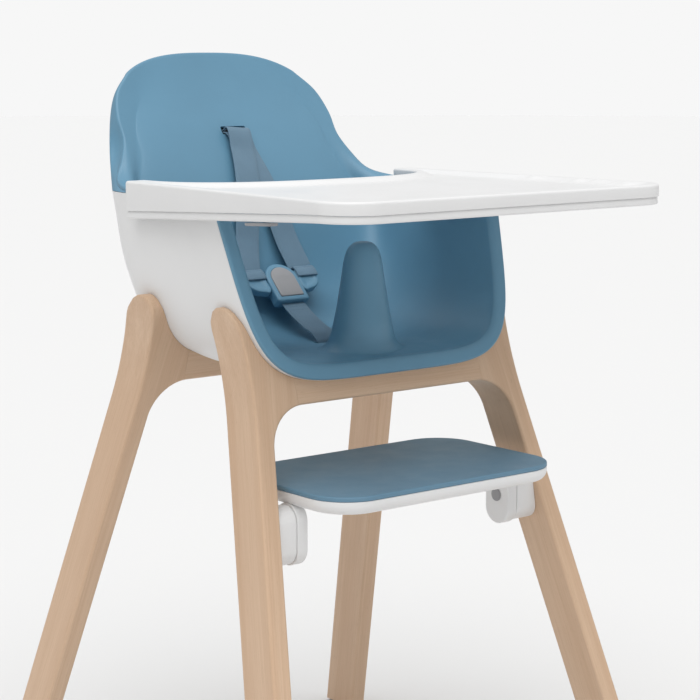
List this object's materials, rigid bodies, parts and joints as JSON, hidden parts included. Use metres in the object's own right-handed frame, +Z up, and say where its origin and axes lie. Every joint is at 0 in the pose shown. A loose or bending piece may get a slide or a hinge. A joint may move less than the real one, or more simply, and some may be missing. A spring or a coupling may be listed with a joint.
{
  "type": "baby high chair",
  "caption": "Baby high chair with raked wooden legs, a moulded bucket seat with crotch post and harness, a slide-on tray and a flip-over footrest.",
  "frame": {"origin": "on the floor, below the middle of the whole chair", "axes": "+Z up, the chair faces -Y, the child's left hand is at +X"},
  "size_m": [0.6074, 0.7142, 1.0038],
  "materials": {
    "beech": "clear matt lacquer",
    "white_plastic": "satin moulded",
    "blue_plastic": "satin moulded",
    "grey_plastic": "fine texture",
    "webbing": "woven polyester"
  },
  "bodies": {
    "chassis": {"front_left_leg": "beech", "front_right_leg": "beech", "front_crossbar": "beech", "rear_left_leg": "beech", "rear_right_leg": "beech", "rear_crossbar": "beech", "front_left_glide": "grey_plastic", "front_right_glide": "grey_plastic", "rear_left_glide": "grey_plastic", "rear_right_glide": "grey_plastic", "outer_shell": "white_plastic", "seat_shell": "blue_plastic", "hinge_housing_left": "white_plastic", "hinge_housing_right": "white_plastic", "pivot_pin_left": "grey_plastic", "pivot_pin_right": "grey_plastic", "shoulder_strap_left": "webbing", "shoulder_strap_right": "webbing", "crotch_strap": "webbing", "buckle_body": "blue_plastic"},
    "footrest": {"footrest_frame": "white_plastic", "footrest_pad": "blue_plastic"},
    "tray": {"tray_top": "white_plastic", "tray_base": "white_plastic"},
    "tray_lever_left": {"tray_lever_left": "grey_plastic"},
    "tray_lever_right": {"tray_lever_right": "grey_plastic"},
    "buckle_button": {"buckle_button": "grey_plastic"},
    "buckle_tongue_left": {"buckle_tongue_left": "blue_plastic"},
    "buckle_tongue_right": {"buckle_tongue_right": "blue_plastic"}
  },
  "joints": [
    {"name": "footrest_flip", "type": "hinge", "parent": "chassis", "child": "footrest", "pos_m": [0, -0.14514, 0.432], "axis": [1, 0, 0], "range_deg": [0, 180]},
    {"name": "tray_slide", "type": "slide", "parent": "chassis", "child": "tray", "axis": [0, -1, 0], "range_m": [0, 0.16]},
    {"name": "tray_lever_left_pull", "type": "slide", "parent": "tray", "child": "tray_lever_left", "axis": [1, 0, 0], "range_m": [0, 0.006], "stiffness_N_per_m": 400, "springref_m": -0.003},
    {"name": "tray_lever_right_pull", "type": "slide", "parent": "tray", "child": "tray_lever_right", "axis": [-1, 0, 0], "range_m": [0, 0.006], "stiffness_N_per_m": 400, "springref_m": -0.003},
    {"name": "buckle_button_press", "type": "slide", "parent": "chassis", "child": "buckle_button", "axis": [0, 0.717, -0.6971], "range_m": [0, 0.002], "stiffness_N_per_m": 600, "springref_m": -0.002},
    {"name": "buckle_tongue_left_release", "type": "slide", "parent": "chassis", "child": "buckle_tongue_left", "axis": [1, 0, 0], "range_m": [0, 0.014]},
    {"name": "buckle_tongue_right_release", "type": "slide", "parent": "chassis", "child": "buckle_tongue_right", "axis": [-1, 0, 0], "range_m": [0, 0.014]}
  ]
}
